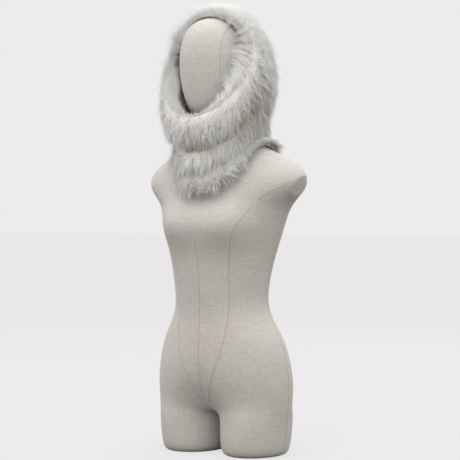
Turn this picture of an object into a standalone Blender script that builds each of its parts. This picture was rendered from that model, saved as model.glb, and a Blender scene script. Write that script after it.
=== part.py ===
"""Fur hood wrap worn on a limbless dress form.

A snood of long white fur is pulled over the form's egg head as a hood.  Its
rings fan out from a throat hinge: the face edge stands upright, the hem lies
on the shoulders, and the front is pressed into a chin roll and two creases.
The form is a padded torso with a plain head, slanted arm caps and short
thigh stubs, and it stands on the stubs' flat undersides.

Metres, +Z up, the form faces -Y, origin on the ground under the middle of
the whole.  Tables give places from the form's own upright axis.
"""

import math

import bmesh
import bpy
import numpy as np
from mathutils import Vector
from mathutils.bvhtree import BVHTree

# Dress form: one row for each level section of the trunk, neck and head.
# Columns: height, half width, front y, y of the widest point, back y.
TRUNK_ROWS = (
    (0.120, 0.162, -0.104, -0.004, 0.105),
    (0.150, 0.164, -0.109, -0.003, 0.107),
    (0.185, 0.160, -0.109, -0.005, 0.105),
    (0.222, 0.152, -0.106, -0.008, 0.099),
    (0.256, 0.139, -0.104, -0.010, 0.088),
    (0.284, 0.120, -0.100, -0.012, 0.077),
    (0.312, 0.109, -0.099, -0.015, 0.070),
    (0.342, 0.108, -0.101, -0.017, 0.069),
    (0.375, 0.113, -0.104, -0.016, 0.074),
    (0.410, 0.119, -0.107, -0.013, 0.083),
    (0.442, 0.128, -0.109, -0.010, 0.092),
    (0.468, 0.136, -0.111, -0.008, 0.098),
    (0.492, 0.144, -0.112, -0.006, 0.101),
    (0.514, 0.151, -0.109, -0.003, 0.102),
    (0.533, 0.161, -0.103, 0.000, 0.102),
    (0.553, 0.183, -0.096, 0.003, 0.099),
    (0.574, 0.202, -0.088, 0.005, 0.095),
    (0.595, 0.199, -0.079, 0.006, 0.090),
    (0.613, 0.186, -0.069, 0.006, 0.082),
    (0.627, 0.164, -0.060, 0.006, 0.073),
    (0.640, 0.133, -0.053, 0.005, 0.065),
    (0.652, 0.100, -0.051, 0.003, 0.059),
    (0.668, 0.074, -0.053, 0.000, 0.054),
    (0.690, 0.058, -0.059, -0.004, 0.049),
    (0.712, 0.054, -0.070, -0.012, 0.044),
    (0.726, 0.056, -0.097, -0.022, 0.042),
    (0.748, 0.063, -0.112, -0.030, 0.046),
    (0.782, 0.071, -0.121, -0.034, 0.054),
    (0.822, 0.075, -0.127, -0.036, 0.060),
    (0.862, 0.074, -0.125, -0.036, 0.060),
    (0.893, 0.066, -0.116, -0.036, 0.050),
    (0.915, 0.052, -0.099, -0.036, 0.034),
    (0.928, 0.031, -0.072, -0.036, 0.004),
)
CROWN_HEIGHT = 0.931
CROWN_Y = -0.036

# Thigh stubs: height, inner x, outer x, front y, y of the middle, back y.
CROTCH_HEIGHT = 0.096
CROTCH_TAPER = 0.99
CROTCH_FRONT = -0.044
CROTCH_BACK = 0.066
GROIN_PULL = 0.040
GROIN_REACH = 0.060
GROIN_SPREAD = 0.12
CLEFT_PULL = 0.022
CLEFT_REACH = 0.040
STUB_ROWS = (
    (0.082, 0.002, 0.160, -0.090, 0.001, 0.091),
    (0.045, 0.003, 0.157, -0.090, 0.001, 0.088),
    (0.016, 0.004, 0.153, -0.089, 0.001, 0.085),
    (0.004, 0.009, 0.148, -0.084, 0.001, 0.080),
    (0.000, 0.019, 0.138, -0.075, 0.001, 0.071),
    (0.000, 0.023, 0.134, -0.071, 0.001, 0.067),
)
HALF_SEGMENTS = 8
INNER_POINTS = 3
CAGE_GAIN = 1 / math.cos(math.pi / 2 / HALF_SEGMENTS)
STUB_SEAM_TURN = math.radians(42)
BUST_CENTRE = (0.060, -0.100, 0.487)
BUST_RADIUS = 0.043
BUST_RISE = 0.034
BUST_SPREAD = 0.25

# Arm caps: a slanted flat cut at each shoulder tip.
CAP_POINT = (0.185, 0.0, 0.567)
CAP_TILT = math.radians(24)
CAP_CUTTER = (0.06, 0.25, 0.12)

# Wrap: rings of the hide, from the face edge to the hem.
# Columns: front y and z, back y and z, half width, side shift in y and z.
HIDE_RINGS = {
    "face edge": (-0.112, 0.724, -0.066, 0.928, 0.096, 0.030, 0.004),
    "face roll": (-0.126, 0.706, -0.040, 0.935, 0.102, 0.022, -0.002),
    "chin roll": (-0.124, 0.680, -0.005, 0.936, 0.102, 0.017, -0.006),
    "chin crease": (-0.109, 0.652, 0.048, 0.905, 0.097, 0.010, -0.008),
    "nape": (-0.111, 0.632, 0.068, 0.837, 0.091, 0.018, 0.002),
    "neck": (-0.111, 0.612, 0.068, 0.755, 0.079, 0.010, 0.018),
    "hem crease": (-0.107, 0.597, 0.068, 0.684, 0.079, 0.006, 0.032),
    "hem roll": (-0.112, 0.581, 0.084, 0.650, 0.088, 0.006, 0.043),
    "hem": (-0.107, 0.566, 0.097, 0.622, 0.098, 0.004, 0.056),
}
RINGS_PER_GAP = 3
RING_POINTS = 44
NOSE_STEPS = 4

# Pile: how far the fur stands off the hide.  Two creases pinch it in front,
# each reaching this far round; locks raise it by waves round and along it.
PILE = 0.023
HEM_PILE = 0.019
PINCH_DEPTH = 0.014
PINCH_WIDTH = 0.45
CREASE_REACH = {
    "chin crease": math.radians(125),
    "hem crease": math.radians(140),
}
LOCK_RELIEF = 0.0022
LOCK_WAVES = ((5, 0.9), (-3, 0.8))
EVENING_ROUNDS = 4
SEAM_GAP = 0.0005
LINING_WALL = 0.0015
LINING_GAP = 0.0006
SEAT_CLEARANCE = 0.0012

# The form's axis lies this far behind the middle of the whole, hood included.
AXIS_Y = 0.0185

COLLECTION = "fur_hood_wrap"


def clear_scene():
    for item in list(bpy.data.objects):
        bpy.data.objects.remove(item, do_unlink=True)


def new_collection(name):
    collection = bpy.data.collections.new(name)
    bpy.context.scene.collection.children.link(collection)
    return collection


def make_material(name, colour, roughness):
    material = bpy.data.materials.new(name)
    material.use_nodes = True
    shader = material.node_tree.nodes["Principled BSDF"]
    shader.inputs["Base Color"].default_value = (*colour, 1.0)
    shader.inputs["Roughness"].default_value = roughness
    shader.inputs["Metallic"].default_value = 0.0
    return material


def make_axis(collection):
    """The empty that everything hangs on, placed on the form's upright axis."""
    axis = bpy.data.objects.new("form_axis", None)
    axis.location = (0.0, AXIS_Y, 0.0)
    collection.objects.link(axis)


def add_object(name, bm, collection, material=None):
    mesh = bpy.data.meshes.new(name)
    bm.to_mesh(mesh)
    bm.free()
    mesh.shade_smooth()
    item = bpy.data.objects.new(name, mesh)
    item.parent = bpy.data.objects["form_axis"]
    collection.objects.link(item)
    if material:
        mesh.materials.append(material)
    return item


def section_arc(width, front, middle, back):
    """Half of one level section, from its front centre round to its back."""
    points = []
    width *= CAGE_GAIN
    for step in range(HALF_SEGMENTS + 1):
        turn = math.pi * step / HALF_SEGMENTS
        depth = middle - front if turn < math.pi / 2 else back - middle
        points.append((width * math.sin(turn), middle - depth * math.cos(turn)))
    return points


def bust_offset(point):
    reach = (point - Vector(BUST_CENTRE)).length / BUST_RADIUS
    return BUST_RISE * math.exp(-reach * reach) if point.y < 0 else 0.0


def trunk_rings(bm):
    rings = []
    for height, width, front, middle, back in TRUNK_ROWS:
        ring = []
        for x, y in section_arc(width, front, middle, back):
            point = Vector((x, y, height))
            rise = bust_offset(point)
            ring.append(bm.verts.new(point + Vector((BUST_SPREAD * rise, -rise, 0.0))))
        above_crotch = height - CROTCH_HEIGHT
        pull = GROIN_PULL * math.exp(-(above_crotch / GROIN_REACH) ** 2)
        cleft = CLEFT_PULL * math.exp(-(above_crotch / CLEFT_REACH) ** 2)
        ring[1].co.y += GROIN_SPREAD * pull
        ring[0].co = (0.0, ring[0].co.y + pull, height)
        ring[-1].co = (0.0, ring[-1].co.y - cleft, height)
        rings.append(ring)
    return rings


def crotch_ring(bm, above):
    """The ring where the trunk parts: its inner points lie on the centre."""
    ring = []
    for vert in above:
        ring.append(bm.verts.new((vert.co.x * CROTCH_TAPER, vert.co.y, CROTCH_HEIGHT)))
    ring[0].co.y = CROTCH_FRONT
    ring[-1].co.y = CROTCH_BACK
    for step in range(1, INNER_POINTS + 1):
        share = step / (INNER_POINTS + 1)
        y = CROTCH_BACK + (CROTCH_FRONT - CROTCH_BACK) * share
        ring.append(bm.verts.new((0.0, y, CROTCH_HEIGHT)))
    return ring


def stub_ring(bm, row):
    height, inner, outer, front, middle, back = row
    turns = []
    sweep = math.pi + 2 * STUB_SEAM_TURN
    for step in range(HALF_SEGMENTS + 1):
        turns.append(-STUB_SEAM_TURN + sweep * step / HALF_SEGMENTS)
    rest = 2 * math.pi - sweep
    for step in range(1, INNER_POINTS + 1):
        turns.append(math.pi + STUB_SEAM_TURN + rest * step / (INNER_POINTS + 1))
    ring = []
    for turn in turns:
        depth = middle - front if math.cos(turn) > 0 else back - middle
        x = (inner + outer) / 2 + (outer - inner) / 2 * math.sin(turn)
        ring.append(bm.verts.new((x, middle - depth * math.cos(turn), height)))
    return ring


def skin_rings(bm, lower, upper, closed, turned=False):
    """Quads between two rings; turned ones fold along their other diagonal."""
    count = len(lower)
    for index in range(count if closed else count - 1):
        after = (index + 1) % count
        corners = [lower[index], lower[after], upper[after], upper[index]]
        if turned:
            corners = corners[1:] + corners[:1]
        bm.faces.new(corners)


def build_form(collection, cutters, material):
    bm = bmesh.new()
    rings = trunk_rings(bm)
    crotch = crotch_ring(bm, rings[0])
    skin_rings(bm, crotch[:HALF_SEGMENTS + 1], rings[0], closed=False)
    for lower, upper in zip(rings, rings[1:]):
        skin_rings(bm, lower, upper, closed=False)
    crown = bm.verts.new((0.0, CROWN_Y, CROWN_HEIGHT))
    for first, second in zip(rings[-1], rings[-1][1:]):
        bm.faces.new((first, second, crown))
    upper = crotch
    for row in STUB_ROWS:
        lower = stub_ring(bm, row)
        skin_rings(bm, lower, upper, closed=True)
        upper = lower
    bm.faces.new(list(reversed(upper)))
    form = add_object("form_body", bm, collection, material)

    mirror = form.modifiers.new("other half", "MIRROR")
    mirror.use_clip = True
    mirror.merge_threshold = 0.0001
    smooth = form.modifiers.new("soft form", "SUBSURF")
    smooth.levels = 1
    smooth.render_levels = 1
    for side in (1, -1):
        cut = form.modifiers.new("arm cap", "BOOLEAN")
        cut.operation = "DIFFERENCE"
        cut.object = arm_cap_cutter(side, cutters)
    return form


def arm_cap_cutter(side, cutters):
    """A box whose face is the slanted plane of one arm cap."""
    bm = bmesh.new()
    bmesh.ops.create_cube(bm, size=1.0)
    bmesh.ops.scale(bm, vec=CAP_CUTTER, verts=bm.verts)
    cutter = add_object("arm_cap_cutter", bm, cutters)
    outward = Vector((side * math.cos(CAP_TILT), 0.0, -math.sin(CAP_TILT)))
    point = Vector((side * CAP_POINT[0], CAP_POINT[1], CAP_POINT[2]))
    cutter.location = point + outward * CAP_CUTTER[0] / 2
    cutter.rotation_euler = (0.0, side * CAP_TILT, 0.0)
    cutter.hide_render = True
    cutter.display_type = "WIRE"
    return cutter


def form_surface(form):
    """A search tree on the finished form, to seat the wrap on it."""
    graph = bpy.context.evaluated_depsgraph_get()
    return BVHTree.FromObject(form, graph)


def smooth_table(rows, steps):
    """Rows of a table with smooth ones put between them."""
    table = np.array(rows)
    padded = np.vstack((2 * table[0] - table[1], table, 2 * table[-1] - table[-2]))
    fine = []
    for index in range(len(table) - 1):
        before, start, end, after = padded[index:index + 4]
        for step in range(steps):
            t = step / steps
            fine.append(0.5 * (2 * start + (end - before) * t
                               + (2 * before - 5 * start + 4 * end - after) * t ** 2
                               + (3 * start - before - 3 * end + after) * t ** 3))
    fine.append(table[-1])
    return np.array(fine)


def hide_grid():
    """Points of the whole hide: rings from face edge to hem, points round."""
    turns = 2 * math.pi * np.arange(RING_POINTS) / RING_POINTS
    grid = []
    for row in smooth_table(list(HIDE_RINGS.values()), RINGS_PER_GAP):
        front_y, front_z, back_y, back_z, width, side_y, side_z = row
        side = np.sin(turns) ** 2
        forward = (1 + np.cos(turns)) / 2
        y = front_y * forward + back_y * (1 - forward) + side_y * side
        z = front_z * forward + back_z * (1 - forward) + side_z * side
        grid.append(np.stack((width * np.sin(turns), y, z), axis=1))
    return np.array(grid)


def unit(vectors):
    return vectors / np.linalg.norm(vectors, axis=-1, keepdims=True)


def grid_normals(grid):
    """Directions off the hide, evened out along it so the pile never crosses."""
    around = np.roll(grid, -1, axis=1) - np.roll(grid, 1, axis=1)
    along = np.gradient(grid, axis=0)
    normals = unit(np.cross(along, around))
    for _ in range(EVENING_ROUNDS):
        padded = np.concatenate((normals[:1], normals, normals[-1:]))
        normals = unit(padded[:-2] + 2 * normals + padded[2:])
    return normals


def seat(points, tree, clearance):
    """Move points that are in or too near the form out to the clearance."""
    seated = points.reshape(-1, 3).copy()
    for index, point in enumerate(seated):
        spot, normal, _, distance = tree.find_nearest(Vector(point))
        inside = (Vector(point) - spot).dot(normal) < 0
        if inside or distance < clearance:
            seated[index] = spot + normal * clearance
    return seated.reshape(points.shape)


def front_weight(turns, reach):
    """One at the front centre, fading to nothing at the given turn."""
    away = np.abs((turns + math.pi) % (2 * math.pi) - math.pi) / reach
    return np.where(away < 1, (1 + np.cos(math.pi * np.minimum(away, 1))) / 2, 0.0)


def pile_depth(ring_count):
    """Fur depth over the hide grid, pinched at the creases in front."""
    turns = 2 * math.pi * np.arange(RING_POINTS) / RING_POINTS
    names = list(HIDE_RINGS)
    rings = np.arange(ring_count)[:, None]
    neck = names.index("neck") * RINGS_PER_GAP
    depth = np.interp(rings, (neck, neck + RINGS_PER_GAP), (PILE, HEM_PILE))
    depth = np.repeat(depth, RING_POINTS, axis=1)
    for name, reach in CREASE_REACH.items():
        away = (rings - names.index(name) * RINGS_PER_GAP) / RINGS_PER_GAP
        pinch = np.exp(-(away / PINCH_WIDTH) ** 2)
        depth -= PINCH_DEPTH * pinch * front_weight(turns, reach)[None, :]
    locks = np.ones_like(depth)
    for waves_round, turn_along in LOCK_WAVES:
        locks *= np.sin(waves_round * turns[None, :] + turn_along * rings)
    return depth + LOCK_RELIEF * locks


def nose(rim_inner, rim_outer, outward):
    """Rings that round off the pile at an edge, from outer to inner face."""
    middle = (rim_inner + rim_outer) / 2
    across = (rim_outer - rim_inner) / 2
    radius = np.linalg.norm(across, axis=1, keepdims=True)
    rings = []
    for step in range(1, NOSE_STEPS):
        turn = math.pi * step / NOSE_STEPS
        rings.append(middle + across * math.cos(turn) + outward * radius * math.sin(turn))
    return rings


def closed_wall(name, rings, collection, material):
    """A solid ring skinned round a closed loop of point rings."""
    bm = bmesh.new()
    loops = [[bm.verts.new(point) for point in ring] for ring in rings]
    for first, second in zip(loops, loops[1:]):
        skin_rings(bm, first, second, closed=True)
    skin_rings(bm, loops[-1], loops[0], closed=True, turned=True)
    bmesh.ops.recalc_face_normals(bm, faces=bm.faces)
    return add_object(name, bm, collection, material)


def edge_direction(inner, end):
    """Unit vectors that leave the hide at its first or last ring."""
    return unit(inner[0] - inner[1] if end == "first" else inner[-1] - inner[-2])


def build_wrap(collection, tree, fur, lining_cloth):
    hide = hide_grid()
    hide = seat(hide, tree, SEAT_CLEARANCE + LINING_WALL + LINING_GAP)
    normals = grid_normals(hide)
    outer = hide + normals * pile_depth(len(hide))[:, :, None]

    names = list(HIDE_RINGS)
    chin = names.index("chin crease") * RINGS_PER_GAP
    hem = names.index("hem crease") * RINGS_PER_GAP
    spans = {"fur_hood": (0, chin), "fur_neck_band": (chin, hem),
             "fur_hem_band": (hem, len(hide) - 1)}
    for name, (first, last) in spans.items():
        inner_rings = hide[first:last + 1].copy()
        outer_rings = outer[first:last + 1].copy()
        for rings in (inner_rings, outer_rings):
            if first > 0:
                rings[0] -= edge_direction(rings, "first") * SEAM_GAP
        rings = list(outer_rings)
        if last == len(hide) - 1:
            rings += nose(inner_rings[-1], outer_rings[-1], edge_direction(inner_rings, "last"))
        rings += list(inner_rings[::-1])
        if first == 0:
            start = nose(inner_rings[0], outer_rings[0], edge_direction(inner_rings, "first"))
            rings += start[::-1]
        closed_wall(name, seat(np.array(rings), tree, SEAT_CLEARANCE), collection, fur)

    shown = names.index("chin roll") * RINGS_PER_GAP + 1
    cloth_outer = hide[:shown] - normals[:shown] * LINING_GAP
    cloth_inner = seat(cloth_outer - normals[:shown] * LINING_WALL, tree, SEAT_CLEARANCE)
    rings = list(cloth_outer) + list(cloth_inner[::-1])
    closed_wall("lining", rings, collection, lining_cloth)


def main():
    clear_scene()
    parts = new_collection(COLLECTION)
    cutters = new_collection("cutters")
    make_axis(parts)
    linen = make_material("cover_linen", (0.56, 0.52, 0.46), 0.85)
    fur = make_material("white_fur", (0.80, 0.79, 0.76), 0.75)
    lining_cloth = make_material("lining_cloth", (0.30, 0.22, 0.14), 0.8)
    form = build_form(parts, cutters, linen)
    bpy.context.view_layer.update()
    build_wrap(parts, form_surface(form), fur, lining_cloth)


main()
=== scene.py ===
"""Looks of a long-pile fur hood wrap worn on a limbless dress form.

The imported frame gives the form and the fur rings' solids.  This script covers
the form with seamed linen, and builds the wrap as its maker would: skins with
a dense undercoat, hairs planted over them in locks, a tan seam and a lining.
Metres, +Z up, the form faces -Y.
"""

import math

import bmesh
import bpy
import numpy as np
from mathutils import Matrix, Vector
from mathutils.bvhtree import BVHTree
from mathutils.kdtree import KDTree


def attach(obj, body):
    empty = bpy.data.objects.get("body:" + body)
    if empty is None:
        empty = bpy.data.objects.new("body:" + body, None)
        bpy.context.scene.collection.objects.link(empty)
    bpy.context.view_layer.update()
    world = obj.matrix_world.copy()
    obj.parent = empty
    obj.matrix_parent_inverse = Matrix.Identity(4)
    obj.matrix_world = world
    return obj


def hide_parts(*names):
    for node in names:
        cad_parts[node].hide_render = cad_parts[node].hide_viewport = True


BODY = "root"
AXIS_Y = 0.0185

# Rings of the skin under the fur, from the face edge to the hem.
# Columns: front y and z, back y and z, half width, side shift in y and z.
SKIN_RINGS = {
    "face edge": (-0.112, 0.712, -0.066, 0.928, 0.096, 0.030, 0.011),
    "face roll": (-0.126, 0.706, -0.040, 0.935, 0.102, 0.022, -0.002),
    "chin roll": (-0.124, 0.680, -0.005, 0.936, 0.102, 0.017, -0.006),
    "chin crease": (-0.109, 0.652, 0.048, 0.905, 0.097, 0.010, -0.008),
    "nape": (-0.111, 0.632, 0.068, 0.837, 0.091, 0.018, 0.002),
    "neck": (-0.111, 0.612, 0.068, 0.755, 0.079, 0.010, 0.018),
    "hem crease": (-0.107, 0.597, 0.068, 0.684, 0.079, 0.006, 0.032),
    "hem roll": (-0.112, 0.581, 0.084, 0.650, 0.088, 0.006, 0.043),
    "hem": (-0.107, 0.566, 0.097, 0.622, 0.098, 0.004, 0.056),
}
RING_NAMES = list(SKIN_RINGS)
RINGS_PER_GAP = 3
RING_POINTS = 44
EVENING_ROUNDS = 4

# Pile: how far it stands off the skin, and how the creases pinch it.
PILE = 0.023
HEM_PILE = 0.019
PINCH_WIDTH = 0.45
CREASES = {"chin crease": (0.014, math.radians(125)), "hem crease": (0.009, math.radians(70))}

SKIN_WALL = 0.0016
LINING_WALL = 0.0015
LINING_GAP = 0.0006
SEAT_CLEARANCE = 0.0012
SKIN_STEPS = 2
COAT_STEPS = 3

# Panels of the wrap: first and last ring, CAD node, the cut's width and length
# and its flat area in square metres.
PANELS = {
    "hood": ("face edge", "chin crease", "fur_hood", (0.78, 0.125), 0.062),
    "neck_band": ("chin crease", "hem crease", "fur_neck_band", (0.78, 0.225), 0.069),
    "hem_band": ("hem crease", "hem", "fur_hem_band", (0.68, 0.069), 0.0243),
}


def ring_number(name):
    return RING_NAMES.index(name) * RINGS_PER_GAP


def unit(vectors):
    return vectors / np.maximum(np.linalg.norm(vectors, axis=-1, keepdims=True), 1e-12)


def smooth_step(low, high, value):
    share = np.clip((value - low) / (high - low), 0, 1)
    return share * share * (3 - 2 * share)


# The skin as a grid of points: rings from face edge to hem, points round.

def smooth_table(rows, steps):
    """Rows of a table with smooth ones put between them."""
    table = np.array(rows)
    padded = np.vstack((2 * table[0] - table[1], table, 2 * table[-1] - table[-2]))
    fine = []
    for index in range(len(table) - 1):
        before, start, end, after = padded[index:index + 4]
        for step in range(steps):
            t = step / steps
            fine.append(0.5 * (2 * start + (end - before) * t
                               + (2 * before - 5 * start + 4 * end - after) * t ** 2
                               + (3 * start - before - 3 * end + after) * t ** 3))
    fine.append(table[-1])
    return np.array(fine)


def skin_grid():
    turns = 2 * math.pi * np.arange(RING_POINTS) / RING_POINTS
    grid = []
    for row in smooth_table(list(SKIN_RINGS.values()), RINGS_PER_GAP):
        front_y, front_z, back_y, back_z, width, side_y, side_z = row
        side = np.sin(turns) ** 2
        forward = (1 + np.cos(turns)) / 2
        y = front_y * forward + back_y * (1 - forward) + side_y * side + AXIS_Y
        z = front_z * forward + back_z * (1 - forward) + side_z * side
        grid.append(np.stack((width * np.sin(turns), y, z), axis=1))
    return np.array(grid)


def grid_normals(grid):
    around = np.roll(grid, -1, axis=1) - np.roll(grid, 1, axis=1)
    along = np.gradient(grid, axis=0)
    normals = unit(np.cross(along, around))
    for _ in range(EVENING_ROUNDS):
        padded = np.concatenate((normals[:1], normals, normals[-1:]))
        normals = unit(padded[:-2] + 2 * normals + padded[2:])
    return normals


def from_front(turn):
    """How far a turn lies from the front centre, whichever way round."""
    return np.abs((turn + math.pi) % (2 * math.pi) - math.pi)


def front_weight(turn, reach):
    away = np.minimum(from_front(turn) / reach, 1)
    return (1 + np.cos(math.pi * away)) / 2


def pile_depth(rings, turns):
    """Depth of the fur at a ring number and a turn."""
    neck = ring_number("neck")
    depth = np.interp(rings, (neck, neck + RINGS_PER_GAP), (PILE, HEM_PILE))
    for name, (pinch, reach) in CREASES.items():
        away = (rings - ring_number(name)) / RINGS_PER_GAP
        near = np.exp(-(away / PINCH_WIDTH) ** 2)
        depth = depth - pinch * near * front_weight(turns, reach)
    return depth


def seat(points, tree, clearance):
    """Move points that are in or too near the form out to the clearance."""
    seated = points.reshape(-1, 3).copy()
    for index, point in enumerate(seated):
        spot, normal, _, distance = tree.find_nearest(Vector(point))
        if distance < clearance or (Vector(point) - spot).dot(normal) < 0:
            seated[index] = spot + normal * clearance
    return seated.reshape(points.shape)


def cubic_weights(t):
    """Weights of four neighbours for a share t past the second of them."""
    weights = (-t + 2 * t ** 2 - t ** 3, 2 - 5 * t ** 2 + 3 * t ** 3,
               t + 4 * t ** 2 - 3 * t ** 3, -t ** 2 + t ** 3)
    return [weight / 2 for weight in weights]


def sample(field, rings, points):
    """A field of the grid at any ring number and any point number round it."""
    last = field.shape[0] - 1
    rings = np.clip(rings, 0, last)
    ring = np.minimum(rings.astype(int), last - 1)
    point = np.floor(points).astype(int)
    across = cubic_weights(rings - ring)
    around = cubic_weights(points - point)
    total = 0
    for i in range(4):
        row = np.clip(ring + i - 1, 0, last)
        for j in range(4):
            weight = (across[i] * around[j])[..., None]
            total = total + weight * field[row, (point + j - 1) % RING_POINTS]
    return total


# Meshes

def add_mesh(name, vertices, faces, material):
    mesh = bpy.data.meshes.new(name)
    mesh.from_pydata(np.asarray(vertices).reshape(-1, 3).tolist(), [], faces)
    mesh.materials.append(material)
    mesh.shade_smooth()
    piece = bpy.data.objects.new(name, mesh)
    bpy.context.scene.collection.objects.link(piece)
    return piece


def add_map(piece, name, places):
    """A UV map with one place for each vertex."""
    layer = piece.data.uv_layers.new(name=name)
    corners = np.empty(len(piece.data.loops), np.int32)
    piece.data.loops.foreach_get("vertex_index", corners)
    layer.data.foreach_set("uv", places[corners].astype(np.float32).ravel())


def ring_wall(name, rings, material):
    """A solid ring skinned round a closed loop of point rings."""
    rings = np.array(rings)
    count, points = rings.shape[:2]
    faces = []
    for ring in range(count):
        after = (ring + 1) % count
        for point in range(points):
            beside = (point + 1) % points
            faces.append((ring * points + point, after * points + point,
                          after * points + beside, ring * points + beside))
    piece = add_mesh(name, rings, faces, material)
    mend_normals(piece)
    return piece


def mend_normals(piece):
    bm = bmesh.new()
    bm.from_mesh(piece.data)
    bmesh.ops.recalc_face_normals(bm, faces=bm.faces)
    bm.to_mesh(piece.data)
    bm.free()


def only(piece):
    """Select one piece alone and make it active."""
    bpy.ops.object.select_all(action="DESELECT")
    piece.select_set(True)
    bpy.context.view_layer.objects.active = piece


def carry(piece, slot, *nodes):
    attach(piece, BODY)
    if nodes:
        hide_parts(*nodes)
    return piece


# Materials

def linear(red, green, blue):
    """A colour given in the 0 to 255 numbers of a picture."""
    values = []
    for number in (red, green, blue):
        share = number / 255
        values.append(share / 12.92 if share < 0.04045 else ((share + 0.055) / 1.055) ** 2.4)
    return (*values, 1.0)


def new_material(name, roughness, sheen=0.0, shine=0.3):
    material = bpy.data.materials.new(name)
    material.use_nodes = True
    shader = material.node_tree.nodes["Principled BSDF"]
    shader.inputs["Roughness"].default_value = roughness
    shader.inputs["Sheen Weight"].default_value = sheen
    shader.inputs["Specular IOR Level"].default_value = shine
    return material, material.node_tree.nodes, material.node_tree.links, shader


def ramp_node(nodes, stops):
    ramp = nodes.new("ShaderNodeValToRGB")
    elements = ramp.color_ramp.elements
    while len(elements) < len(stops):
        elements.new(1.0)
    for element, (place, colour) in zip(elements, stops):
        element.position = place
        element.color = colour
    return ramp


def weave_group():
    """Crossing threads: how light each spot is, and how high."""
    group = bpy.data.node_groups.new("thread weave", "ShaderNodeTree")
    face = group.interface
    for name, value in (("Threads per metre", 900.0), ("Slub length", 14.0)):
        face.new_socket(name, in_out="INPUT", socket_type="NodeSocketFloat").default_value = value
    face.new_socket("Tone", in_out="OUTPUT", socket_type="NodeSocketFloat")
    face.new_socket("Height", in_out="OUTPUT", socket_type="NodeSocketFloat")
    nodes, links = group.nodes, group.links
    start = nodes.new("NodeGroupInput")
    end = nodes.new("NodeGroupOutput")
    place = nodes.new("ShaderNodeTexCoord")
    long = nodes.new("ShaderNodeMath")
    long.operation = "DIVIDE"
    links.new(start.outputs["Threads per metre"], long.inputs[0])
    links.new(start.outputs["Slub length"], long.inputs[1])
    threads = []
    for upright in (True, False):
        stretch = nodes.new("ShaderNodeCombineXYZ")
        fine, coarse = start.outputs["Threads per metre"], long.outputs[0]
        links.new(fine if upright else coarse, stretch.inputs["X"])
        links.new(fine if upright else coarse, stretch.inputs["Y"])
        links.new(coarse if upright else fine, stretch.inputs["Z"])
        scaled = nodes.new("ShaderNodeVectorMath")
        scaled.operation = "MULTIPLY"
        links.new(place.outputs["Object"], scaled.inputs[0])
        links.new(stretch.outputs[0], scaled.inputs[1])
        noise = nodes.new("ShaderNodeTexNoise")
        noise.inputs["Scale"].default_value = 1.0
        noise.inputs["Detail"].default_value = 1.0
        links.new(scaled.outputs[0], noise.inputs["Vector"])
        threads.append(noise.outputs["Fac"])
    cross = nodes.new("ShaderNodeMath")
    cross.operation = "MULTIPLY"
    links.new(threads[0], cross.inputs[0])
    links.new(threads[1], cross.inputs[1])
    tone = nodes.new("ShaderNodeMapRange")
    tone.inputs["From Min"].default_value = 0.10
    tone.inputs["From Max"].default_value = 0.42
    links.new(cross.outputs[0], tone.inputs["Value"])
    links.new(tone.outputs[0], end.inputs["Tone"])
    links.new(cross.outputs[0], end.inputs["Height"])
    return group


# How much of a woven cloth's tone comes from its threads, and from soft clouds.
THREAD_SHARE = 0.52
CLOUD_SHARE = 0.48


def woven(name, group, dark, light, threads, roughness, bump):
    """Plain woven cloth between two tones."""
    material, nodes, links, shader = new_material(name, roughness, sheen=0.15)
    weave = nodes.new("ShaderNodeGroup")
    weave.node_tree = group
    weave.inputs["Threads per metre"].default_value = threads
    cloud = nodes.new("ShaderNodeTexNoise")
    cloud.inputs["Scale"].default_value = 9.0
    cloud.inputs["Detail"].default_value = 3.0
    place = nodes.new("ShaderNodeTexCoord")
    links.new(place.outputs["Object"], cloud.inputs["Vector"])
    mix = nodes.new("ShaderNodeMix")
    mix.data_type = "RGBA"
    blend = nodes.new("ShaderNodeMath")
    blend.operation = "MULTIPLY_ADD"
    blend.inputs[1].default_value = THREAD_SHARE
    links.new(weave.outputs["Tone"], blend.inputs[0])
    soft = nodes.new("ShaderNodeMath")
    soft.operation = "MULTIPLY"
    soft.inputs[1].default_value = CLOUD_SHARE
    links.new(cloud.outputs["Fac"], soft.inputs[0])
    links.new(soft.outputs[0], blend.inputs[2])
    links.new(blend.outputs[0], mix.inputs["Factor"])
    mix.inputs["A"].default_value = dark
    mix.inputs["B"].default_value = light
    links.new(mix.outputs["Result"], shader.inputs["Base Color"])
    relief = nodes.new("ShaderNodeBump")
    relief.inputs["Strength"].default_value = bump
    relief.inputs["Distance"].default_value = 0.001
    links.new(weave.outputs["Height"], relief.inputs["Height"])
    links.new(relief.outputs["Normal"], shader.inputs["Normal"])
    return material


# The hairs' map goes across from warm brown, used for painted shade at the patches and a little
# for the random tone, to white up to the top tone, with the cool-tipped guard hairs past it, and
# up from root to tip.
HAIR_MAP = "OFBake"
HAIR_MAP_SPREAD = 0.01
LOW_TONE = 0.03
TOP_TONE = 0.95
GUARD_TONE = 0.985


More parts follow.
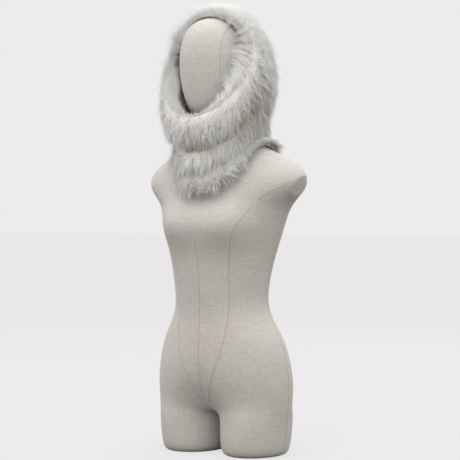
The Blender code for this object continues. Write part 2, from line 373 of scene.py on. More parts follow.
def hair_material():
    """White hair, with painted shade in warm brown at the patches, and cool at the guard hairs'
    tips.
    """
    material, nodes, links, shader = new_material("white_hair", 0.7, sheen=0.7, shine=0.2)
    place = nodes.new("ShaderNodeUVMap")
    place.uv_map = HAIR_MAP
    split = nodes.new("ShaderNodeSeparateXYZ")
    links.new(place.outputs["UV"], split.inputs[0])
    light = ramp_node(nodes, (
        (0.00, linear(226, 220, 210)),
        (0.30, linear(243, 242, 239)),
        (0.60, linear(248, 250, 250)),
        (1.00, linear(248, 251, 254)),
    ))
    # Warm brown, darker to the root: painted shade at the patches, and a little warmth in the
    # random tone.
    warm_tone_and_shade = ramp_node(nodes, (
        (0.00, linear(112, 86, 60)),
        (0.35, linear(148, 124, 96)),
        (0.70, linear(176, 156, 130)),
        (1.00, linear(196, 180, 158)),
    ))
    links.new(split.outputs["Y"], light.inputs["Fac"])
    links.new(split.outputs["Y"], warm_tone_and_shade.inputs["Fac"])
    mix = nodes.new("ShaderNodeMix")
    mix.data_type = "RGBA"
    links.new(split.outputs["X"], mix.inputs["Factor"])
    links.new(warm_tone_and_shade.outputs["Color"], mix.inputs["A"])
    links.new(light.outputs["Color"], mix.inputs["B"])
    guard = nodes.new("ShaderNodeMapRange")
    guard.inputs["From Min"].default_value = GUARD_TONE - 0.015
    guard.inputs["From Max"].default_value = GUARD_TONE - 0.01
    links.new(split.outputs["X"], guard.inputs["Value"])
    cool = ramp_node(nodes, (
        (0.45, linear(248, 249, 249)),
        (0.90, linear(212, 221, 227)),
    ))
    links.new(split.outputs["Y"], cool.inputs["Fac"])
    whole = nodes.new("ShaderNodeMix")
    whole.data_type = "RGBA"
    links.new(guard.outputs[0], whole.inputs["Factor"])
    links.new(mix.outputs["Result"], whole.inputs["A"])
    links.new(cool.outputs["Color"], whole.inputs["B"])
    links.new(whole.outputs["Result"], shader.inputs["Base Color"])
    return material


def undercoat_material():
    """The dense short wool under the long hair, streaked along its lie."""
    material, nodes, links, shader = new_material("undercoat", 0.9)
    place = nodes.new("ShaderNodeUVMap")
    place.uv_map = "lie"
    stretch = nodes.new("ShaderNodeMapping")
    stretch.inputs["Scale"].default_value = (260.0, 36.0, 1.0)
    links.new(place.outputs["UV"], stretch.inputs["Vector"])
    streaks = nodes.new("ShaderNodeTexNoise")
    streaks.inputs["Scale"].default_value = 1.0
    streaks.inputs["Detail"].default_value = 4.0
    links.new(stretch.outputs["Vector"], streaks.inputs["Vector"])
    ramp = ramp_node(nodes, (
        (0.30, linear(196, 186, 172)),
        (0.55, linear(222, 215, 205)),
        (0.80, linear(238, 235, 229)),
    ))
    links.new(streaks.outputs["Fac"], ramp.inputs["Fac"])
    split = nodes.new("ShaderNodeSeparateXYZ")
    links.new(place.outputs["UV"], split.inputs[0])
    near_edge = nodes.new("ShaderNodeMapRange")
    near_edge.inputs["From Min"].default_value = 0.10
    near_edge.inputs["From Max"].default_value = 0.22
    near_edge.inputs["To Min"].default_value = 1.0
    near_edge.inputs["To Max"].default_value = 0.0
    links.new(split.outputs["Y"], near_edge.inputs["Value"])
    paler = nodes.new("ShaderNodeMix")
    paler.data_type = "RGBA"
    paler.inputs["B"].default_value = linear(244, 243, 240)
    links.new(near_edge.outputs[0], paler.inputs["Factor"])
    links.new(ramp.outputs["Color"], paler.inputs["A"])
    links.new(paler.outputs["Result"], shader.inputs["Base Color"])
    relief = nodes.new("ShaderNodeBump")
    relief.inputs["Strength"].default_value = 0.6
    relief.inputs["Distance"].default_value = 0.002
    links.new(streaks.outputs["Fac"], relief.inputs["Height"])
    links.new(relief.outputs["Normal"], shader.inputs["Normal"])
    return material


def skin_material(name, dark, light):
    material, nodes, links, shader = new_material(name, 0.85)
    place = nodes.new("ShaderNodeTexCoord")
    grain = nodes.new("ShaderNodeTexNoise")
    grain.inputs["Scale"].default_value = 140.0
    grain.inputs["Detail"].default_value = 4.0
    links.new(place.outputs["Object"], grain.inputs["Vector"])
    ramp = ramp_node(nodes, ((0.3, dark), (0.7, light)))
    links.new(grain.outputs["Fac"], ramp.inputs["Fac"])
    links.new(ramp.outputs["Color"], shader.inputs["Base Color"])
    relief = nodes.new("ShaderNodeBump")
    relief.inputs["Strength"].default_value = 0.3
    relief.inputs["Distance"].default_value = 0.0006
    links.new(grain.outputs["Fac"], relief.inputs["Height"])
    links.new(relief.outputs["Normal"], shader.inputs["Normal"])
    return material


# The dress form's linen cover

# Seams in front view: places from the middle and heights.
CENTRE_FRONT = ((0.0, 0.462), (0.0, 0.38), (0.0, 0.26), (0.0, 0.16), (0.0, 0.102))
CENTRE_BACK = ((0.0, 0.610), (0.0, 0.45), (0.0, 0.25), (0.0, 0.102))
PRINCESS_SEAM = (
    (0.118, 0.531), (0.103, 0.505), (0.090, 0.480), (0.079, 0.450), (0.068, 0.400),
    (0.065, 0.345), (0.063, 0.290), (0.058, 0.245), (0.047, 0.205), (0.030, 0.165),
    (0.014, 0.130), (0.009, 0.116),
)
BACK_PRINCESS = ((0.092, 0.560), (0.078, 0.470), (0.062, 0.345), (0.074, 0.240), (0.080, 0.120))
ARM_RIDGE = (
    (0.1273, 0.5432), (0.1346, 0.5484), (0.1419, 0.5546), (0.1529, 0.5619),
    (0.1633, 0.5675), (0.1733, 0.5735), (0.1827, 0.5795), (0.1890, 0.5822),
)
# The side seam by its heights, and the head seam by turns over the head.
SIDE_SEAM = (0.535, 0.014)
HEAD_SEAM = (0.052, math.radians(-35), math.radians(200))
HEAD_MIDDLE = (-0.030, 0.810)
SEAM_STEP = 0.0045
SEAM_WELT = (0.0014, 0.0005)


def spaced(path):
    """Points about one step apart along a path of corners, smoothed."""
    fine = smooth_table(path, 12)
    lengths = np.concatenate(([0], np.cumsum(np.linalg.norm(np.diff(fine, axis=0), axis=1))))
    marks = np.linspace(0, lengths[-1], max(4, int(lengths[-1] / SEAM_STEP)))
    return np.stack([np.interp(marks, lengths, column) for column in fine.T], axis=1)


def cast(tree, starts, aims):
    """Where rays meet the cover, with its normals."""
    spots, normals = [], []
    for start, aim in zip(starts, aims):
        spot, normal, _, _ = tree.ray_cast(Vector(start), Vector(aim))
        if spot is not None:
            spots.append(spot)
            normals.append(normal)
    return np.array(spots), np.array(normals)


def seam_lines(tree):
    lines = []
    for side in (1, -1):
        fronts = [PRINCESS_SEAM, ARM_RIDGE]
        backs = [BACK_PRINCESS]
        if side > 0:
            fronts.append(CENTRE_FRONT)
            backs.append(CENTRE_BACK)
        for face, paths in ((1, fronts), (-1, backs)):
            for path in paths:
                flat = spaced(path)
                starts = [(side * x, AXIS_Y - face, z) for x, z in flat]
                lines.append(cast(tree, starts, [(0, face, 0)] * len(flat)))
        heights = np.arange(SIDE_SEAM[0], SIDE_SEAM[1], -SEAM_STEP)
        starts = [(side, AXIS_Y + 0.002, z) for z in heights]
        lines.append(cast(tree, starts, [(-side, 0, 0)] * len(heights)))
        turns = np.arange(HEAD_SEAM[1], HEAD_SEAM[2], 0.045)
        away = [(0, -math.cos(turn), math.sin(turn)) for turn in turns]
        starts = [(side * HEAD_SEAM[0], AXIS_Y + HEAD_MIDDLE[0] + y, HEAD_MIDDLE[1] + z)
                  for _, y, z in away]
        lines.append(cast(tree, starts, [(0, -y, -z) for _, y, z in away]))
    return lines


def form_seams(cover, material):
    """Narrow welts lying on the cover wherever its panels are sewn together."""
    tree = BVHTree.FromPolygons([vertex.co for vertex in cover.data.vertices],
                                [face.vertices for face in cover.data.polygons])
    vertices, faces = [], []
    for spots, normals in seam_lines(tree):
        smooth = spots.copy()
        smooth[1:-1] = (spots[:-2] + 2 * spots[1:-1] + spots[2:]) / 4
        along = unit(np.gradient(smooth, axis=0))
        beside = unit(np.cross(along, normals))
        half, height = SEAM_WELT
        rows = ((-1, -0.6), (-0.5, 1), (0.5, 1), (1, -0.6))
        first = len(vertices)
        for index, spot in enumerate(smooth):
            for across, up in rows:
                vertices.append(spot + beside[index] * half * across
                                + normals[index] * height * up)
        count = len(rows)
        for index in range(len(smooth) - 1):
            for row in range(count):
                a, b = first + index * count + row, first + index * count + (row + 1) % count
                faces.append((a, b, b + count, a + count))
        last = first + (len(smooth) - 1) * count
        faces.append(tuple(range(first, first + count)))
        faces.append(tuple(range(last, last + count)))
    piece = add_mesh("form_seams", vertices, faces, material)
    mend_normals(piece)
    return piece


def linen_cover(node, material):
    mesh = node.data.copy()
    cover = bpy.data.objects.new("linen_cover", mesh)
    bpy.context.scene.collection.objects.link(cover)
    mesh.materials.clear()
    mesh.materials.append(material)
    only(cover)
    bpy.ops.object.mode_set(mode="EDIT")
    bpy.ops.mesh.select_all(action="SELECT")
    bpy.ops.mesh.remove_doubles(threshold=0.00001)
    bpy.ops.mesh.customdata_custom_splitnormals_clear()
    bpy.ops.mesh.tris_convert_to_quads()
    bpy.ops.object.mode_set(mode="OBJECT")
    smooth = cover.modifiers.new("fine cover", "SUBSURF")
    smooth.levels = 1
    smooth.render_levels = 1
    bpy.ops.object.modifier_apply(modifier=smooth.name)
    cover.data.shade_smooth()
    return cover


# The wrap's skins, undercoat, lining and seam

class Pelt:
    """The whole wrap's grid of points, with its normals, its lie and its pile's depth."""

    def __init__(self, tree):
        self.tree = tree
        skin = skin_grid()
        self.skin = seat(skin, tree, SEAT_CLEARANCE + LINING_WALL + LINING_GAP)
        self.normals = grid_normals(self.skin)
        self.down = unit(np.gradient(self.skin, axis=0))

    def depth(self, rings, points):
        return pile_depth(rings, 2 * math.pi * points / RING_POINTS)

    def finer(self, first, last, steps):
        """Ring numbers and point numbers of a finer grid between two rings."""
        rings = np.linspace(first, last, (last - first) * steps + 1)
        points = np.arange(RING_POINTS * steps) / steps
        return np.meshgrid(rings, points, indexing="ij")

    def level(self, rings, points, height):
        """Points at a height over the skin."""
        skin = sample(self.skin, rings, points)
        return skin + unit(sample(self.normals, rings, points)) * height


def lie_map(piece, rings, points, copies):
    """Maps a ring wall by its point numbers and ring numbers."""
    places = np.stack((points / RING_POINTS, rings / ring_number("hem")), axis=-1)
    add_map(piece, "lie", np.concatenate([places] + [places[::-1]] * (copies - 1)).reshape(-1, 2))


def skin_panel(pelt, name, first, last, material):
    rings, points = pelt.finer(first, last, SKIN_STEPS)
    outer = pelt.level(rings, points, SKIN_WALL)
    inner = pelt.level(rings, points, 0.0)
    return ring_wall(name, np.concatenate((outer, inner[::-1])), material)


UNDERCOAT_SHARE = 0.5
UNDERCOAT_LUMPS = 0.0014


def undercoat(pelt, name, first, last, material):
    rings, points = pelt.finer(first, last, COAT_STEPS)
    turns = 2 * math.pi * points / RING_POINTS
    lumps = np.sin(17 * turns + 2.1 * rings) * np.sin(2.7 * rings - 9 * turns)
    height = UNDERCOAT_SHARE * pelt.depth(rings, points) + UNDERCOAT_LUMPS * lumps
    height = SKIN_WALL + 0.0008 + height * smooth_step(-0.6, 5.0, rings)
    outer = pelt.level(rings, points, height[..., None])
    inner = pelt.level(rings, points, SKIN_WALL + 0.0003)
    piece = ring_wall(name, np.concatenate((outer, inner[::-1])), material)
    lie_map(piece, rings, points, 2)
    return piece


LINING_FOLDS = 0.0006


def lining(pelt, material):
    last = ring_number("chin roll")
    rings, points = pelt.finer(0, last, COAT_STEPS)
    turns = 2 * math.pi * points / RING_POINTS
    folds = LINING_FOLDS * np.sin(31 * turns + np.sin(3 * turns) * 2) * (1 - rings / last)
    outer = pelt.level(rings, points, -LINING_GAP)
    inner = pelt.level(rings, points, (folds - LINING_GAP - LINING_WALL)[..., None])
    inner = seat(inner, pelt.tree, SEAT_CLEARANCE / 2)
    return ring_wall("hood_lining", np.concatenate((outer, inner[::-1])), material)


SEAM_TURNS = (math.radians(-64), math.radians(100))
SEAM_TAPE = (0.0009, 0.0009)
SEAM_DEPTH_SHARE = 0.80


def chin_seam(pelt, material):
    """The seam's turned edge, a narrow welt that shows where the pile parts."""
    steps = 120
    turns = np.linspace(*SEAM_TURNS, steps)
    points = turns / (2 * math.pi) * RING_POINTS
    rings = np.full(steps, float(ring_number("chin crease")))
    height = pelt.depth(rings, points) * SEAM_DEPTH_SHARE
    centre = pelt.level(rings, points, height[:, None])
    normal = unit(sample(pelt.normals, rings, points))
    down = unit(sample(pelt.down, rings, points))
    taper = np.sqrt(np.clip(np.sin(math.pi * (np.arange(steps) + 0.5) / steps), 0, 1))[:, None]
    sides = 8
    loops = []
    for side in range(sides):
        angle = 2 * math.pi * side / sides
        reach = down * SEAM_TAPE[0] * math.cos(angle) + normal * SEAM_TAPE[1] * math.sin(angle)
        loops.append(centre + reach * taper)
    tube = np.stack(loops, axis=1)
    faces = []
    for step in range(steps - 1):
        for side in range(sides):
            beside = (side + 1) % sides
            faces.append((step * sides + side, step * sides + beside,
                          (step + 1) * sides + beside, (step + 1) * sides + side))
    faces.append(tuple(range(sides)))
    faces.append(tuple((steps - 1) * sides + side for side in range(sides)))
    piece = add_mesh("chin_seam", tube, faces, material)
    mend_normals(piece)
    return piece


# Hair

HAIR_WIDTH = 0.00032
LOCK_SHARE = 0.03
COAT_BEND = 0.48
FRINGE_BENDS = (0.35, 0.68)
HAIR_COUNTS = {"hood": (15000, 15000), "neck_band": (16000, 14500), "hem_band": (6500, 6000)}
FRINGE_COUNT = 8000
FRINGE_SEED = 5

# How much a hair is shaded as the coat's surface, and how much from above.
SOFT_NORMALS = 0.75
LIFTED_NORMALS = 0.45

# Hairs keep this far off the form, and their spines between these places in depth.
FORM_CLEARANCE = 0.0006
HAIR_REACH = (-0.1485, 0.1495)

# The lie down the wrap, the pull of gravity on it, and how much lower the coat is
# at the front of the face edge.
LEAN = 1.15
GRAVITY = 0.35
EDGE_LOWER = 0.6
EDGE_LOWER_REACH = 1.6
EDGE_BLEND_RINGS = 5.5

# Guard hairs: their share, how much longer they are, and how much thicker.
GUARD_SHARE = 0.08
GUARD_LENGTH = (0.06, 0.34)
GUARD_WIDTH = 0.9

# How far the lie turns over the face edge, by turn from the front.
TURNED_OVER = (np.radians((10, 40, 65, 125, 150, 180)), (-0.45, 0.1, 0.8, 0.8, 0.0, -0.3))


def model_hair(bends):
    """One hair, a metre tall and thick, bent at some heights; the rest are copies."""
    bpy.ops.object.select_all(action="DESELECT")
    bpy.ops.mesh.primitive_cone_add(vertices=3, radius1=1.0, radius2=0.0, depth=1.0,
                                    location=(0, 0, 0.5))
    cone = bpy.context.object
    bpy.ops.object.transform_apply(location=True, rotation=True, scale=True)
    bpy.ops.object.mode_set(mode="EDIT")
    for height in bends:
        bpy.ops.mesh.select_all(action="SELECT")
        bpy.ops.mesh.bisect(plane_co=(0, 0, height), plane_no=(0, 0, 1))
    bpy.ops.mesh.select_all(action="SELECT")
    bpy.ops.mesh.quads_convert_to_tris()
    bpy.ops.mesh.normals_make_consistent(inside=False)
    bpy.ops.object.mode_set(mode="OBJECT")
    points = np.array([tuple(vertex.co) for vertex in cone.data.vertices])
    faces = np.array([tuple(face.vertices) for face in cone.data.polygons])
    bpy.data.objects.remove(cone, do_unlink=True)
    return points, faces


def scatter(pelt, first, last, count, rng):
    """Ring and point numbers of hair roots, spread evenly over the skin."""
    grid = pelt.skin
    start, stop = int(math.floor(first)), int(math.ceil(last))
    along = grid[1:] - grid[:-1]
    around = np.roll(grid, -1, axis=1) - grid
    area = np.linalg.norm(np.cross(along, (around[1:] + around[:-1]) / 2), axis=2)[start:stop]
    cells = rng.choice(area.size, count, p=(area / area.sum()).ravel())
    rings = start + cells // RING_POINTS + rng.random(count)
    points = cells % RING_POINTS + rng.random(count)
    return rings, points


def drift(places, wavelength, rng):
    """A smooth random number from -1 to 1 for each place."""
    total = np.zeros(len(places))
    for _ in range(5):
        direction = unit(rng.normal(size=3)) * 2 * math.pi / wavelength
        total += np.sin(places @ direction * rng.uniform(0.6, 1.5) + rng.uniform(0, 6.28))
    return np.clip(total / 2.6, -1, 1)


def gather_locks(places, rng):
    """Each hair's lock, as the number of the hair in its middle."""
    count = max(8, int(len(places) * LOCK_SHARE))
    middles = rng.choice(len(places), count, replace=False)
    tree = KDTree(count)
    for index, middle in enumerate(middles):
        tree.insert(places[middle], index)
    tree.balance()
    return np.array([middles[tree.find(place)[1]] for place in places])


# Painted shade, warm brown, in the pile's parted hollows, along the chin crease and under the
# hem:
# ring number, turn in degrees, reach along, reach round in degrees, strength.
PAINTED_SHADE_PATCHES = (
    (7.2, 8, 1.3, 15, 0.70),
    (7.4, 72, 1.8, 26, 0.75),
    (8.4, 45, 0.7, 40, 0.45),
    (12.5, 84, 3.0, 18, 0.45),
    (17.5, 40, 1.2, 40, 0.40),
    (23.2, 50, 1.3, 50, 0.50),
)


# Painted shade: how far the hairs' tone drops towards warm brown at the patches.
def painted_shade(rings, turns):
    total = np.zeros(len(rings))
    for ring, turn, along, around, strength in PAINTED_SHADE_PATCHES:
        away = (turns - math.radians(turn) + math.pi) % (2 * math.pi) - math.pi
        total += strength * np.exp(-((rings - ring) / along) ** 2
                                   - (away / math.radians(around)) ** 2)
    return total


def plant(pelt, name, spine, normal, width, tone, hair, rng, material):
    """One mesh of hairs, each a copy of the model bent along its own spine."""
    points, faces = hair
    count = len(width)
    levels = sorted(spine)
    spine = {level: seat(spine[level], pelt.tree, FORM_CLEARANCE) for level in levels}
    for places in spine.values():
        places[:, 1] = np.clip(places[:, 1], *HAIR_REACH)
    aim = unit(spine[levels[-1]] - spine[levels[0]])
    beside = unit(np.cross(aim, unit(rng.normal(size=(count, 3)))))
    behind = np.cross(aim, beside)
    copies = np.empty((count, len(points), 3))
    shading = np.empty((count, len(points), 3))
    for index, (x, y, z) in enumerate(points):
        spread = beside * x + behind * y
        copies[:, index] = spine[round(float(z), 4)] + spread * width[:, None]
        shading[:, index] = unit(normal * SOFT_NORMALS + spread * (1 - SOFT_NORMALS)
                                 + np.array((0.0, 0.0, LIFTED_NORMALS)))

    mesh = bpy.data.meshes.new(name)
    mesh.vertices.add(count * len(points))
    mesh.vertices.foreach_set("co", copies.astype(np.float32).ravel())
    corners = (faces[None] + (np.arange(count) * len(points))[:, None, None])
    corners = corners.reshape(-1, 3).astype(np.int32)
    mesh.loops.add(corners.size)
    mesh.loops.foreach_set("vertex_index", corners.ravel())
    mesh.polygons.add(len(corners))
    mesh.polygons.foreach_set("loop_start", np.arange(0, corners.size, 3, dtype=np.int32))
    mesh.update(calc_edges=True)
    mesh.materials.append(material)
    mesh.shade_smooth()
    mesh.normals_split_custom_set_from_vertices(shading.reshape(-1, 3))
    piece = bpy.data.objects.new(name, mesh)
    bpy.context.scene.collection.objects.link(piece)

    places = np.empty((count, len(points), 2))
    places[:, :, 0] = tone[:, None] + HAIR_MAP_SPREAD * points[None, :, 0]
    places[:, :, 1] = np.clip(points[None, :, 2], 0.02, 0.98)
    add_map(piece, HAIR_MAP, places.reshape(-1, 2))
    return piece


def hair_levels(hair):
    return sorted({round(float(point[2]), 4) for point in hair[0]})


def pile(pelt, name, first, last, count, seed, hair, material, side):
    """The coat of hair planted between two rings, on one side of the form."""
    rng = np.random.default_rng(seed)
    rings, points = scatter(pelt, first, last, count * 2 + 400, rng)
    kept = (np.sin(2 * math.pi * points / RING_POINTS) * side > 0).nonzero()[0][:count]
    rings, points = rings[kept], points[kept]
    count = len(rings)
    turns = 2 * math.pi * points / RING_POINTS
    roots = pelt.level(rings, points, SKIN_WALL)
    normal = unit(sample(pelt.normals, rings, points))
    down = unit(sample(pelt.down, rings, points))
    across = unit(np.cross(normal, down))
    depth = pelt.depth(rings, points)
    lock = gather_locks(roots, rng)
    by_lock = rng.normal(size=(count, 4))[lock]
    own = rng.normal(size=(count, 4))

    # The lie runs down the wrap, stands up more and more towards the face edge,
    # and turns over it.
    over_edge = 1 - smooth_step(0.0, EDGE_BLEND_RINGS, rings)
    lean = LEAN + 0.22 * drift(roots, 0.07, rng) + 0.10 * by_lock[:, 0] + 0.10 * own[:, 0]
    inward = np.interp(from_front(turns), *TURNED_OVER)
    lean = lean * (1 - over_edge * (1 + inward))
    lean = lean + (0.5 + 0.12 * inward) * over_edge * own[:, 0]
    for crease, (_, crease_reach) in CREASES.items():
        above = ring_number(crease) - rings
        front = front_weight(turns, crease_reach)
        lean = lean * (1 - 0.12 * np.where(above > 0, np.exp(-(above / 1.2) ** 2), 0) * front)
        lean = lean * (1 - 0.35 * np.where(above <= 0, np.exp(-(above / 1.0) ** 2), 0) * front)
    swing = 0.38 * drift(roots, 0.05, rng) + 0.14 * by_lock[:, 1]
    swing = swing + (0.16 + 0.65 * over_edge) * own[:, 1]
    heading = unit(down * np.cos(swing)[:, None] + across * np.sin(swing)[:, None])
    fall = np.array((0.0, 0.0, -1.0)) + normal * normal[:, 2:3]
    heading = unit(heading + GRAVITY * fall)

    guard = rng.random(count) < GUARD_SHARE
    size = 0.97 + 0.06 * drift(roots, 0.03, rng) + 0.05 * by_lock[:, 2] + 0.10 * own[:, 2]
    longer, spread = GUARD_LENGTH
    size = np.clip(size, 0.6, 1.2) + guard * (longer + spread * rng.random(count))
    rise = depth * size * (1 - EDGE_LOWER * over_edge * front_weight(turns, EDGE_LOWER_REACH))
    reach = depth * size * lean

    def centre(share):
        up = 1 - (1 - share) ** 1.7
        return roots + (normal * (rise * up)[:, None]
                        + heading * (reach * share ** 1.5)[:, None])

    tips = centre(1.0)
    pull = np.clip(0.10 + 0.08 * by_lock[:, 3], 0.0, 0.35)[:, None]
    spine = {share: centre(share) + (tips[lock] - tips) * pull * share ** 2
             for share in hair_levels(hair)}
    width = HAIR_WIDTH * (np.clip(1 + 0.25 * own[:, 3], 0.5, 1.6) + GUARD_WIDTH * guard)
    tone = 0.90 + 0.06 * drift(roots, 0.05, rng) + 0.04 * by_lock[:, 0] + 0.06 * own[:, 0]
    # Painted shade: the tone drops towards warm brown at the patches.
    tone = np.clip(tone - painted_shade(rings, turns), LOW_TONE, TOP_TONE)
    tone = np.where(guard, GUARD_TONE, tone)
    return plant(pelt, name, spine, normal, width, tone, hair, rng, material)


# How far hairs on the face edge fall over the opening, by turn in degrees.
EDGE_FALL = (
    (-180, 0.004), (-160, 0.007), (-135, 0.016), (-115, 0.015), (-95, 0.012), (-60, 0.012),
    (-40, 0.007), (-15, 0.001), (10, 0.001), (35, 0.005), (60, 0.011), (90, 0.018),
    (115, 0.013), (130, 0.008), (155, 0.005), (180, 0.004),
)
FULL_FALL = 0.014
EDGE_RINGS = 4.5
EDGE_FORWARD = (0.75, 0.15)


def edge_fringe(pelt, name, count, seed, hair, material):
    """Hairs at the face edge that curl over it towards the face."""
    rng = np.random.default_rng(seed)
    rings, points = scatter(pelt, 0, 5, count * 8, rng)
    turns = 2 * math.pi * points / RING_POINTS
    degrees = np.degrees((turns + math.pi) % (2 * math.pi) - math.pi)
    fall = np.interp(degrees, *np.array(EDGE_FALL).T)
    kept = (rings < EDGE_RINGS * rng.random(len(rings)) ** 1.2)
    kept = (kept & (fall > FULL_FALL * rng.random(len(rings)))).nonzero()[0][:count]
    rings, points, turns, fall = rings[kept], points[kept], turns[kept], fall[kept]
    count = len(rings)
    roots = pelt.level(rings, points, SKIN_WALL)
    normal = unit(sample(pelt.normals, rings, points))
    forward = -unit(sample(pelt.down, rings, points))
    edge = pelt.level(np.zeros(count), points, 0.0)
    opening = unit(edge.mean(axis=0) - edge)
    own = rng.normal(size=(count, 5))
    by_lock = rng.normal(size=(count, 3))[gather_locks(roots, rng)]

    fall = fall * np.clip(1 + 0.22 * by_lock[:, 0] + 0.38 * own[:, 0], 0.1, 1.9)
    curl = np.clip(fall / FULL_FALL, 0, 1)
    to_edge = np.linalg.norm(roots - edge, axis=1)
    onward = np.where(np.sin(turns) > 0, *EDGE_FORWARD)
    lead = to_edge * (0.2 + 0.8 * curl) + onward * fall + 0.003 * curl
    lift = 0.45 + 0.12 * rings * curl + 0.14 * own[:, 1]
    lift = pelt.depth(rings, points) * np.clip(lift, 0.2, 1.0)
    swing = (0.25 * by_lock[:, 1] + 0.2 * own[:, 2])[:, None] * np.cross(forward, normal)
    drop = np.array((0.0, 0.0, -0.35)) * fall[:, None]

    def centre(share):
        return roots + (normal * (lift * math.sin(min(share * 1.25, 1) * math.pi / 2))[:, None]
                        + forward * (lead * share)[:, None]
                        + opening * ((fall + lift * 0.8 * curl) * share ** 2.4)[:, None]
                        + swing * (lead * share ** 1.5)[:, None] + drop * share ** 2)

    spine = {share: centre(share) for share in hair_levels(hair)}
    width = HAIR_WIDTH * np.clip(1 + 0.25 * own[:, 3], 0.5, 1.6)
    tone = np.clip(0.88 + 0.04 * by_lock[:, 2] + 0.05 * own[:, 4], LOW_TONE, TOP_TONE)
    return plant(pelt, name, spine, normal, width, tone, hair, rng, material)


# Camera, floor and light

VIEW_TURN = math.radians(35)
VIEW_DISTANCE = 3.3
EYE_HEIGHT = 0.51
TARGET_HEIGHT = 0.4776
METRES_PER_PIXEL = 0.00216
IMAGE_WIDTH = 460
AXIS_PIXEL = 226
SENSOR = 36.0

# The studio: a pale even background, seen as it is, over dimmer light.
BACKGROUND = (237, 235, 236)
AMBIENT = (1.0, 0.96, 0.915, 1.0)
AMBIENT_STRENGTH = 1.25
KEY_TINT = (0.97, 0.99, 1.0)
FLOOR_TONE = 0.10
FLOOR_GLOW = 0.82
FUR_BOUNCES = 12

# Lamps: turn from the front in degrees, height, distance, size and power.
LAMPS = (
    ("key", 5, 2.6, 1.4, 1.2, 15),
    ("top", 150, 2.9, 0.5, 1.6, 14),
    ("far side", -55, 1.6, 2.2, 1.4, 6),
    ("near side", 80, 1.6, 2.4, 1.4, 7),
    ("front", 30, 1.3, 3.2, 1.6, 7),
    ("back", 190, 1.9, 2.8, 1.6, 10),
)


def place_camera():
    right = Vector((math.cos(VIEW_TURN), math.sin(VIEW_TURN), 0.0))
    back = Vector((math.sin(VIEW_TURN), -math.cos(VIEW_TURN), 0.0))
    axis = Vector((0.0, AXIS_Y, 0.0)) - right * (AXIS_PIXEL - IMAGE_WIDTH / 2) * METRES_PER_PIXEL
    eye = axis + back * VIEW_DISTANCE + Vector((0, 0, EYE_HEIGHT))
    target = axis + Vector((0, 0, TARGET_HEIGHT))
    lens = bpy.data.cameras.new("camera")
    lens.sensor_width = SENSOR
    lens.lens = SENSOR * VIEW_DISTANCE / METRES_PER_PIXEL / IMAGE_WIDTH
    camera = bpy.data.objects.new("camera", lens)
    camera.location = eye
    camera.rotation_euler = (target - eye).to_track_quat("-Z", "Y").to_euler()
    bpy.context.scene.collection.objects.link(camera)
    bpy.context.scene.camera = camera


def add_floor():
    bpy.ops.object.select_all(action="DESELECT")
    bpy.ops.mesh.primitive_plane_add(size=60.0, location=(0.0, 0.0, 0.0))
    floor = bpy.context.object
    floor.name = "floor"
    material, nodes, links, shader = new_material("pale_floor", 0.95, shine=0.0)
    shader.inputs["Base Color"].default_value = (FLOOR_TONE, FLOOR_TONE, FLOOR_TONE, 1.0)
    shader.inputs["Emission Color"].default_value = linear(*BACKGROUND)
    path = nodes.new("ShaderNodeLightPath")
    glow = nodes.new("ShaderNodeMath")
    glow.operation = "MULTIPLY"
    glow.inputs[1].default_value = FLOOR_GLOW
    links.new(path.outputs["Is Camera Ray"], glow.inputs[0])
    links.new(glow.outputs[0], shader.inputs["Emission Strength"])
    floor.data.materials.append(material)


def add_light(name, turn, height, distance, size, power):
    """A soft square light, placed by its turn from the front and its height."""
    lamp = bpy.data.lights.new(name, "AREA")
    lamp.size = size
    lamp.energy = power
    lamp.color = KEY_TINT
    light = bpy.data.objects.new(name, lamp)
    light.location = (distance * math.sin(turn), -distance * math.cos(turn), height)
    aim = Vector((0.0, AXIS_Y, 0.55)) - light.location
    light.rotation_euler = aim.to_track_quat("-Z", "Y").to_euler()
    bpy.context.scene.collection.objects.link(light)


def light_room():
    world = bpy.data.worlds.new("room")
    world.use_nodes = True
    nodes, links = world.node_tree.nodes, world.node_tree.links
    ambient = nodes["Background"]
    ambient.inputs["Color"].default_value = AMBIENT
    ambient.inputs["Strength"].default_value = AMBIENT_STRENGTH
    seen = nodes.new("ShaderNodeBackground")
    seen.inputs["Color"].default_value = linear(*BACKGROUND)
    path = nodes.new("ShaderNodeLightPath")
    choice = nodes.new("ShaderNodeMixShader")
    links.new(path.outputs["Is Camera Ray"], choice.inputs["Fac"])
    links.new(ambient.outputs[0], choice.inputs[1])
    links.new(seen.outputs[0], choice.inputs[2])
    links.new(choice.outputs[0], nodes["World Output"].inputs["Surface"])
    bpy.context.scene.world = world
    for name, degrees, height, distance, size, power in LAMPS:
        add_light(name, math.radians(degrees), height, distance, size, power)
    bpy.context.scene.view_settings.view_transform = "Standard"
    bpy.context.scene.cycles.diffuse_bounces = FUR_BOUNCES


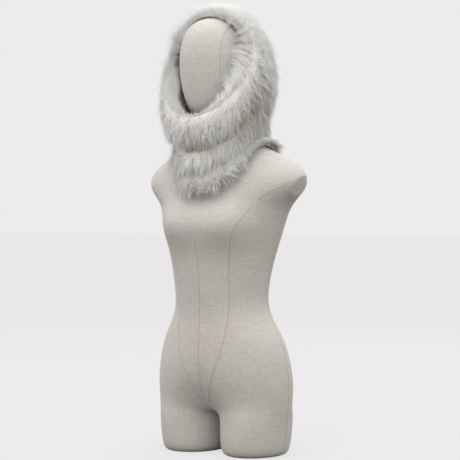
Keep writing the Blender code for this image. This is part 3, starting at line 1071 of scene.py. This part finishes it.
def build():
    tree = BVHTree.FromPolygons(
        [vertex.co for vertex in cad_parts["form_body"].data.vertices],
        [face.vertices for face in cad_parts["form_body"].data.polygons])
    weave = weave_group()
    linen = woven("cover_linen", weave, linear(170, 167, 161), linear(205, 203, 200),
                  640.0, 0.9, 0.5)
    seam_linen = woven("seam_linen", weave, linear(164, 158, 149), linear(192, 187, 180),
                       900.0, 0.9, 0.4)
    lining_cloth = woven("lining_cloth", weave, linear(112, 90, 58), linear(176, 152, 112),
                         1100.0, 0.85, 0.5)
    skin_side = skin_material("skin_side", linear(150, 128, 98), linear(190, 168, 138))
    welt = skin_material("seam_welt", linear(176, 152, 120), linear(214, 196, 168))
    hair_white = hair_material()
    wool = undercoat_material()

    cover = carry(linen_cover(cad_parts["form_body"], linen), "form_cover", "form_body")
    carry(form_seams(cover, seam_linen), "form_cover")

    pelt = Pelt(tree)
    hair = model_hair((COAT_BEND,))
    for order, (name, (top, bottom, node, flat, area)) in enumerate(PANELS.items()):
        first, last = ring_number(top), ring_number(bottom)
        skin = carry(skin_panel(pelt, name + "_skin", first, last, skin_side), "white_fur", node)
        coat = [carry(undercoat(pelt, name + "_undercoat", first, last, wool), "white_fur")]
        for side, count, word in zip((1, -1), HAIR_COUNTS[name], ("left", "right")):
            coat.append(carry(pile(pelt, f"{name}_pile_{word}", first, last, count,
                                   11 * order + side + 2, hair, hair_white, side), "white_fur"))
        if name == "hood":
            coat.append(carry(chin_seam(pelt, welt), "white_fur"))
            coat.append(carry(edge_fringe(pelt, "hood_edge_fringe", FRINGE_COUNT, FRINGE_SEED,
                                          model_hair(FRINGE_BENDS), hair_white), "white_fur"))

    inside = carry(lining(pelt, lining_cloth), "lining_cloth", "lining")


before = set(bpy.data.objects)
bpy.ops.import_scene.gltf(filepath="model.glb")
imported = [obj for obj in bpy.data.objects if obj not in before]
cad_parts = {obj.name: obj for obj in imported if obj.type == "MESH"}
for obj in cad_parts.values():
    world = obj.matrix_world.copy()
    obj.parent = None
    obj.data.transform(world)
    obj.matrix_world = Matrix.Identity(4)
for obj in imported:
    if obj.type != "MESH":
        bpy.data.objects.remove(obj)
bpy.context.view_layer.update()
build()
add_floor()
place_camera()
light_room()
